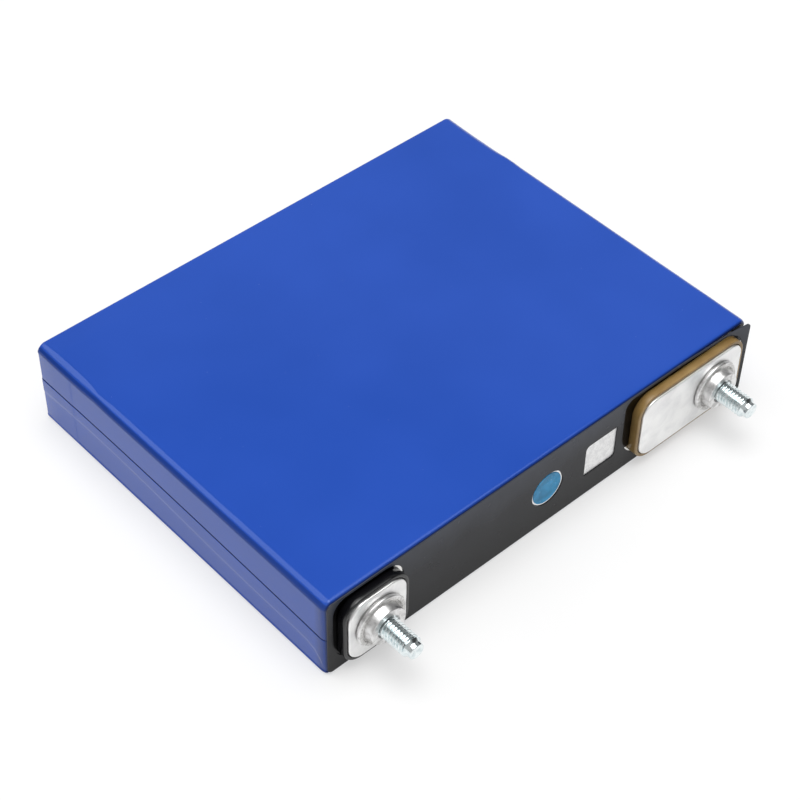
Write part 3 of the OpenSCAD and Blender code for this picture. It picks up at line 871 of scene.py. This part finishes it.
LIP_ROUND = 0.3
LIP_INNER_ROUND = 0.15
LIP_GAP = 0.2
TRAY_BEVEL = 0.15
PLATE_ROUND = 0.4
PLATE_BEVEL = 0.1
PLATE_RADIUS = 4.6
# A ring of points on the plate's face
FACE_RING_RADIUS = 6.8
COUNTERSINK_DEPTH = 0.8
SHANK_RADIUS = 4.0
RIVET_HEAD_RADIUS = 4.8
# Knocks in the negative plate: (depth, x and z from its centre, spread).
KNOCKS = [(0.7, -8.2, 8.6, 7.0), (0.45, -7.5, 7.6, 0.35)]


def plate_frame(side):
    """Centre, size and straight cuts of one terminal plate's outline."""
    low, high = corners(side + "_terminal_plate")
    centre = ((low.x + high.x) / 2, (low.z + high.z) / 2)
    size = (high.x - low.x, high.z - low.z)
    return centre, size, (int(size[0] - 2 * PLATE_RADIUS), int(size[1] - 2 * PLATE_RADIUS))


def plate_ring(side, grow, h, dents=0.0):
    """Outline of a plate, grown by this much, at this height."""
    centre, size, cuts = plate_frame(side)
    outline = rounded_rect(centre, (size[0] + 2 * grow, size[1] + 2 * grow), PLATE_RADIUS + grow, cuts)
    ring = []
    for x, z in outline:
        out = Vector((x - centre[0], z - centre[1])).normalized()
        dent = dents * plate_dent(side, x - centre[0], z - centre[1])
        ring.append((x - out.x * dent, h, z - out.y * dent))
    return ring


def plate_dent(side, dx, dz):
    """How far a plate's edge is knocked in, at a place seen from its centre."""
    dent = 0.05 + 0.05 * ripple(dx / 2.5, dz / 2.5, seed=len(side))
    if side == "neg":
        for depth, x, z, spread in KNOCKS:
            dent += depth * math.exp(-((dx - x) ** 2 + (dz - z) ** 2) / spread)
    return dent


def hole_ring(side, outline, radius, h):
    """Circle round the stud's axis whose points lie towards the outline's points."""
    x0, z0 = stud_axis(side)
    ring = []
    for x, _, z in outline:
        out = Vector((x - x0, z - z0)).normalized()
        ring.append((x0 + out.x * radius, h, z0 + out.y * radius))
    return ring


def stud_axis(side):
    """Where a stud's axis passes through the lid, as (x, z)."""
    place = MOUNTS[side + "_stud_pin"]["pos_m"]
    return place[0] / MM, place[2] / MM


def outer_insulator(side):
    """Moulded tray: a floor under the plate and a rounded lip all round it."""
    low, high = corners(side + "_outer_insulator")
    grow = (high.z - low.z - plate_frame(side)[1][1]) / 2
    bottom, top = heights(side + "_outer_insulator")
    floor = heights(side + "_terminal_plate")[0]
    rings = [plate_ring(side, grow - TRAY_BEVEL, bottom), plate_ring(side, grow, bottom + TRAY_BEVEL)]
    for k in range(5):
        a = math.pi / 2 * k / 4
        inset, drop = LIP_ROUND * (1 - math.cos(a)), LIP_ROUND * (1 - math.sin(a))
        rings.append(plate_ring(side, grow - inset, top - drop))
    for k in range(4):
        a = math.pi / 2 * k / 3
        inset, drop = LIP_INNER_ROUND * (1 - math.sin(a)), LIP_INNER_ROUND * (1 - math.cos(a))
        rings.append(plate_ring(side, LIP_GAP + inset, top - drop))
    rings.append(plate_ring(side, LIP_GAP, floor))
    shank = plate_ring(side, 0, floor)
    rings += [hole_ring(side, shank, SHANK_RADIUS, floor), hole_ring(side, shank, SHANK_RADIUS, bottom)]
    skin = loft(rings, closed=True)
    return new_piece(side + "_insulator_tray", skin, [side + "_outer_insulator"], sharp=50)


def terminal_plate(side):
    """Blasted plate with a rounded rim, lightly knocked, and the rivet's countersink."""
    bottom, top = heights(side + "_terminal_plate")
    rings = [plate_ring(side, -PLATE_BEVEL, bottom), plate_ring(side, 0, bottom + PLATE_BEVEL)]
    for k in range(6):
        a = math.pi / 2 * k / 5
        inset, drop = PLATE_ROUND * (1 - math.cos(a)), PLATE_ROUND * (1 - math.sin(a))
        rings.append(plate_ring(side, -inset, top - drop, dents=1.0))
    outline = plate_ring(side, 0, top)
    hole = [(FACE_RING_RADIUS, top), (RIVET_HEAD_RADIUS, top), (SHANK_RADIUS, top - COUNTERSINK_DEPTH),
            (SHANK_RADIUS, bottom)]
    rings += [hole_ring(side, outline, radius, h) for radius, h in hole]
    skin = loft(rings, closed=True)
    return new_piece(side + "_contact_plate", skin, [side + "_terminal_plate"], sharp=50)


# Inside the boss: room for the stud's head, the bore above it, and the recess in the seat
HEAD_RADIUS = 4.2
HEAD_HEIGHT = 1.2
BORE_RADIUS = 3.3
RECESS_RADIUS = 3.45
RECESS_DEPTH = 0.8
FLANGE_RISE = 1.3
FLANGE_ROUND = 0.45
# The groove between flange and cone: (radius, height above the flange's top)
GROOVE = [(6.45, -0.02), (6.3, -0.2), (6.12, -0.42), (5.95, -0.36), (5.85, -0.15), (5.80, 0.3)]
# The cone's top edge: its radius, and the centre and radius of its rounding
CONE_TOP_RADIUS = 5.45
SEAT_ROUND_CENTRE = 5.15
SEAT_ROUND = 0.3
WELD_LUMPS = 0.03
WELD_ROUGHNESS = 0.012


def stud_base(side):
    """Turned boss with a welded flange: a lumpy bead round its foot and a flat seat for the busbar."""
    bottom, seat = heights(side + "_stud_base")
    low, high = corners(side + "_stud_base")
    flange = (high.x - low.x) / 2
    flange_top = bottom + FLANGE_RISE
    head_top = bottom + HEAD_HEIGHT
    recess_floor = seat - RECESS_DEPTH
    profile = [(HEAD_RADIUS, bottom), (flange - 0.6, bottom), (flange - 0.6, bottom + 0.12),
               (flange - 0.1, bottom + 0.3)]
    profile += arc((flange - FLANGE_ROUND, flange_top - 0.5), FLANGE_ROUND, -20, 90, 7)
    profile += [(flange - 0.8, flange_top - 0.1)] + [(r, flange_top + rise) for r, rise in GROOVE]
    profile += [(CONE_TOP_RADIUS, seat - 0.45)]
    profile += arc((SEAT_ROUND_CENTRE, seat - SEAT_ROUND), SEAT_ROUND, 5, 90, 5)
    profile += [(4.6, seat - 0.02), (RECESS_RADIUS + 0.12, seat), (RECESS_RADIUS, seat - 0.1),
                (RECESS_RADIUS, recess_floor), (BORE_RADIUS, recess_floor), (BORE_RADIUS, head_top),
                (HEAD_RADIUS, head_top)]

    def weld(turn, r, h):
        if not (5.9 < r < flange + 0.01 and h > bottom + 0.15):
            return r, h
        lumps = ripple(math.cos(turn) * 5, math.sin(turn) * 5, r * 1.3, seed=stud_axis(side)[0])
        rough = ripple(math.cos(turn) * 16, math.sin(turn) * 16, r * 3)
        return r + WELD_LUMPS * lumps, h + WELD_LUMPS * lumps + WELD_ROUGHNESS * rough

    axis = stud_axis(side)
    skin = turned(profile, axis, steps=160, shift=weld)
    # Marks: burn on the weld in the groove, and painted shade in the undercut at the foot.
    marks = []
    for x, h, z in skin[0]:
        r = math.hypot(x - axis[0], z - axis[1])
        groove = 5.85 < r < flange - 0.35 and flange_top - 0.6 < h < flange_top + 0.3
        marks.append(1.0 if groove or h < bottom + 0.2 else 0.0)
    return new_piece(side + "_stud_boss", skin, [side + "_stud_base"], marks=marks)


PITCH = 1.0
THREAD_DEPTH = 0.6134 * PITCH
THREAD_STEP = 0.0625
# Shares of half a pitch that the thread's crest and its flank take.
CREST_SHARE = 0.125
FLANK_SHARE = 0.70
TIP_SHARE = 0.75
TIP_LENGTH = 1.2
TIP_ROUND = 0.25


def thread_radius(h, turn, start, end, radius):
    """Radius of a right-hand metric thread at a height and turn; it runs out at both ends."""
    phase = (h / PITCH - turn / (2 * math.pi)) % 1.0
    from_crest = abs(phase - 0.5) * 2
    cut = min(1.0, max(0.0, (from_crest - CREST_SHARE) / FLANK_SHARE))
    cut *= smooth(h, start - 0.2, start + 0.5) * (1 - smooth(h, end - 0.35, end + 0.1))
    return radius - THREAD_DEPTH * cut


def stud(side):
    """Zinc-plated stud with a cut M6 x 1.0 thread, a short cone and a plain tip."""
    bottom, tip = heights(side + "_stud")
    pin = MOUNTS[side + "_stud_pin"]
    radius, length = pin["dims"]["r_mm"], pin["dims"]["length_mm"]
    start = heights(side + "_stud_base")[1]
    end = start + length
    head_top = bottom + HEAD_HEIGHT
    neck = radius - 0.35
    head = [(0, bottom), (HEAD_RADIUS, bottom), (HEAD_RADIUS, head_top), (BORE_RADIUS, head_top),
            (BORE_RADIUS, start - RECESS_DEPTH), (neck, start - 0.75), (neck, start - 0.1)]
    rows = int(length / THREAD_STEP)
    thread = [(radius, start + length * k / rows) for k in range(rows + 1)]
    end_radius, end_start = TIP_SHARE * radius, tip - TIP_LENGTH
    point = [(end_radius + 0.05, end_start - 0.05), (end_radius, end_start + 0.1), (end_radius, tip - 0.3)]
    point += arc((end_radius - TIP_ROUND, tip - TIP_ROUND), TIP_ROUND, 0, 90, 4)
    point += [(end_radius - 0.5, tip - 0.03), (end_radius - 0.75, tip - 0.12), (0, tip - 0.14)]

    def cut(turn, r, h):
        if start - NEARLY <= h <= end + NEARLY and r == radius:
            return thread_radius(h, turn, start, end, radius), h
        return r, h

    skin = turned(head + thread + point, stud_axis(side), steps=72, shift=cut)
    return new_piece(side + "_threaded_stud", skin, [side + "_stud"], sharp=28)


# ---------- CAD nodes that stay ----------

EDGE_ROUNDING = 0.08
ROUNDED_FROM = 40  # degrees: flatter edges are left alone


def soften(node):
    """Small rounded edges on a CAD node, so that they catch the light, and its own material."""
    piece = frame["nodes"][node]
    weld = piece.modifiers.new("weld", "WELD")
    weld.merge_threshold = 1e-6
    bevel = piece.modifiers.new("rounding", "BEVEL")
    bevel.width = EDGE_ROUNDING * MM
    bevel.segments = 2
    bevel.limit_method = "ANGLE"
    bevel.angle_limit = math.radians(ROUNDED_FROM)
    bevel.harden_normals = True
    piece.data.materials.clear()
    piece.data.materials.append(MATERIALS[SLOT_OF[node]])


# ---------- light, floor and camera ----------

TARGET = Vector((-7.13, -10.30, MID)) * MM
CAMERA_DISTANCE = 0.53205
CAMERA_HEADING = 42.708
CAMERA_ELEVATION = 45.773
CAMERA_ROLL = 0.991
CAMERA_LENS = 90.70
CAMERA_SENSOR = 36


def add_camera():
    """Looks down over the corner by the negative terminal. The heading turns from +Y to +X."""
    heading, elevation = math.radians(CAMERA_HEADING), math.radians(CAMERA_ELEVATION)
    forward = Vector((math.sin(heading) * math.cos(elevation), math.cos(heading) * math.cos(elevation),
                      -math.sin(elevation)))
    level = forward.cross(Vector((0, 0, 1))).normalized()
    upright = level.cross(forward)
    roll = math.radians(CAMERA_ROLL)
    right = level * math.cos(roll) + upright * math.sin(roll)
    up = upright * math.cos(roll) - level * math.sin(roll)
    camera = bpy.data.cameras.new("camera")
    camera.lens = CAMERA_LENS
    camera.sensor_width = CAMERA_SENSOR
    camera.clip_start = 0.01
    holder = bpy.data.objects.new("camera", camera)
    turn = Matrix((right, up, -forward)).transposed().to_4x4()
    holder.matrix_world = Matrix.Translation(TARGET - forward * CAMERA_DISTANCE) @ turn
    bpy.context.scene.collection.objects.link(holder)
    bpy.context.scene.camera = holder


FLOOR_REACH = 4.0
# A floor that glows a little keeps the shadows pale.
FLOOR_GLOW = 0.52


def add_floor():
    mesh = bpy.data.meshes.new("floor")
    square = [(-1, -1), (1, -1), (1, 1), (-1, 1)]
    mesh.from_pydata([(x * FLOOR_REACH, y * FLOOR_REACH, 0) for x, y in square], [], [(0, 1, 2, 3)])
    paint = Paint("floor_paper", Roughness=0.9, Emission_Color=(1, 1, 1, 1), Emission_Strength=FLOOR_GLOW)
    shade = paint.ramp(paint.noise(60), (0.3, (0.34, 0.34, 0.34)), (0.7, (0.36, 0.36, 0.36)))
    mesh.materials.append(paint.done(shade))
    floor = bpy.data.objects.new("floor", mesh)
    bpy.context.scene.collection.objects.link(floor)


# Lights: (direction, cosine where the light begins, cosine where it is full, level).
SOFTBOX = ((0, 0, 1), 0.90, 0.96, 8.0)
SOFTBOX_FRINGE = ((0, 0, 1), 0.815, 0.86, 2.2)
EDGE_LIGHT = ((-0.33, 0.51, 0.79), 0.94, 0.965, 2.8)
FRONT_LIGHT = ((-0.75, -0.66, 0), 0.05, 0.45, 0.6)
BACK_LIGHT = ((0.68, 0.73, 0), 0.1, 0.55, 0.35)
# The back light fades out towards the softbox.
BACK_LIGHT_END = ((0, 0, 1), 0.68, 0.76, 1.0)
DARK_LEVEL = 0.06
BACKDROP_LEVEL = 1.27


def add_light():
    """Soft studio: a softbox overhead, pale behind the camera, dim behind the cell, and a white backdrop."""
    world = bpy.data.worlds.new("studio")
    world.use_nodes = True
    bpy.context.scene.world = world
    tree = world.node_tree
    tree.nodes.clear()

    def node(kind, **settings):
        made = tree.nodes.new(kind)
        for key, value in settings.items():
            setattr(made, key, value)
        return made

    def maths(operation, first, second):
        made = node("ShaderNodeMath", operation=operation)
        for socket, value in zip(made.inputs, (first, second)):
            if isinstance(value, bpy.types.NodeSocket):
                tree.links.new(value, socket)
            else:
                socket.default_value = value
        return made.outputs[0]

    def towards(direction, start, end, level):
        """Light that grows to this level as the cosine to the direction passes from start to end."""
        dot = node("ShaderNodeVectorMath", operation="DOT_PRODUCT")
        tree.links.new(place, dot.inputs[0])
        dot.inputs[1].default_value = Vector(direction).normalized()
        step = node("ShaderNodeMapRange", interpolation_type="SMOOTHSTEP")
        tree.links.new(dot.outputs["Value"], step.inputs["Value"])
        for socket, value in (("From Min", start), ("From Max", end), ("To Min", 0.0), ("To Max", level)):
            step.inputs[socket].default_value = value
        return step.outputs[0]

    place = node("ShaderNodeTexCoord").outputs["Generated"]
    back = maths("MULTIPLY", towards(*BACK_LIGHT), maths("SUBTRACT", 1.0, towards(*BACK_LIGHT_END)))
    seen = node("ShaderNodeLightPath").outputs["Is Camera Ray"]
    backdrop = maths("MULTIPLY", seen, BACKDROP_LEVEL)
    lights = [towards(*light) for light in (SOFTBOX, SOFTBOX_FRINGE, FRONT_LIGHT, EDGE_LIGHT)]
    level = DARK_LEVEL
    for light in lights + [back, backdrop]:
        level = maths("MAXIMUM", level, light)
    shade = node("ShaderNodeBackground")
    tree.links.new(level, shade.inputs["Strength"])
    tree.links.new(shade.outputs[0], node("ShaderNodeOutputWorld").inputs[0])


# ---------- making ----------

# Each maker has the name of the record's slot that it makes.
MAKERS = [blue_film, black_sheet, can_aluminium, lid_aluminium, vent_aluminium, teal_film, black_plastic,
          brown_plastic, plate_aluminium, boss_aluminium, zinc_steel, copper, foil_aluminium, seal_rubber,
          pale_plastic, bag_film, anode, cathode, separator, green_tape]
MATERIALS = {maker.__name__: maker(maker.__name__) for maker in MAKERS}

add_camera()
add_floor()
add_light()
bpy.context.scene.view_settings.view_transform = "Standard"

wrap_film()
case_can()
lid_sheet()
vent_disc()
vent_film()
for end in ("neg", "pos"):
    outer_insulator(end)
    terminal_plate(end)
    stud_base(end)
    stud(end)

for kept in frame["nodes"]:
    if kept not in REPLACED:
        soften(kept)
